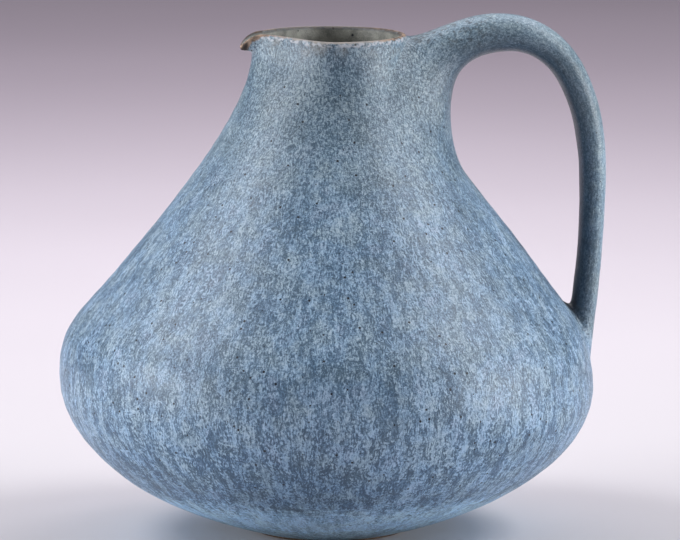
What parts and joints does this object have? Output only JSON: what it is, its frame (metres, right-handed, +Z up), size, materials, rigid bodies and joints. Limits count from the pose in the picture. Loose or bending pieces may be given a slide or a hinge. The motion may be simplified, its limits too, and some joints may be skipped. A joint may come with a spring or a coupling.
{
  "type": "ceramic pitcher",
  "caption": "Squat cone-shaped stoneware pitcher with a narrow neck, a small pulled pouring lip and one tall loop handle.",
  "frame": {"origin": "centre of the foot ring's contact face, on the surface that the pitcher stands on", "axes": "+Z up, +X towards the handle, -X towards the pouring lip; the XZ plane cuts the handle and the lip in half"},
  "size_m": [0.2046, 0.2004, 0.195],
  "materials": {
    "vessel_glaze": "satin",
    "handle_glaze": "satin",
    "bare_clay": "matte"
  },
  "bodies": {
    "root": {"foot_ring": "bare_clay", "base_bowl": "vessel_glaze", "cone_wall": "vessel_glaze", "neck_collar": "vessel_glaze", "handle_top_root": "handle_glaze", "handle": "handle_glaze", "handle_bottom_root": "handle_glaze"}
  },
  "joints": []
}
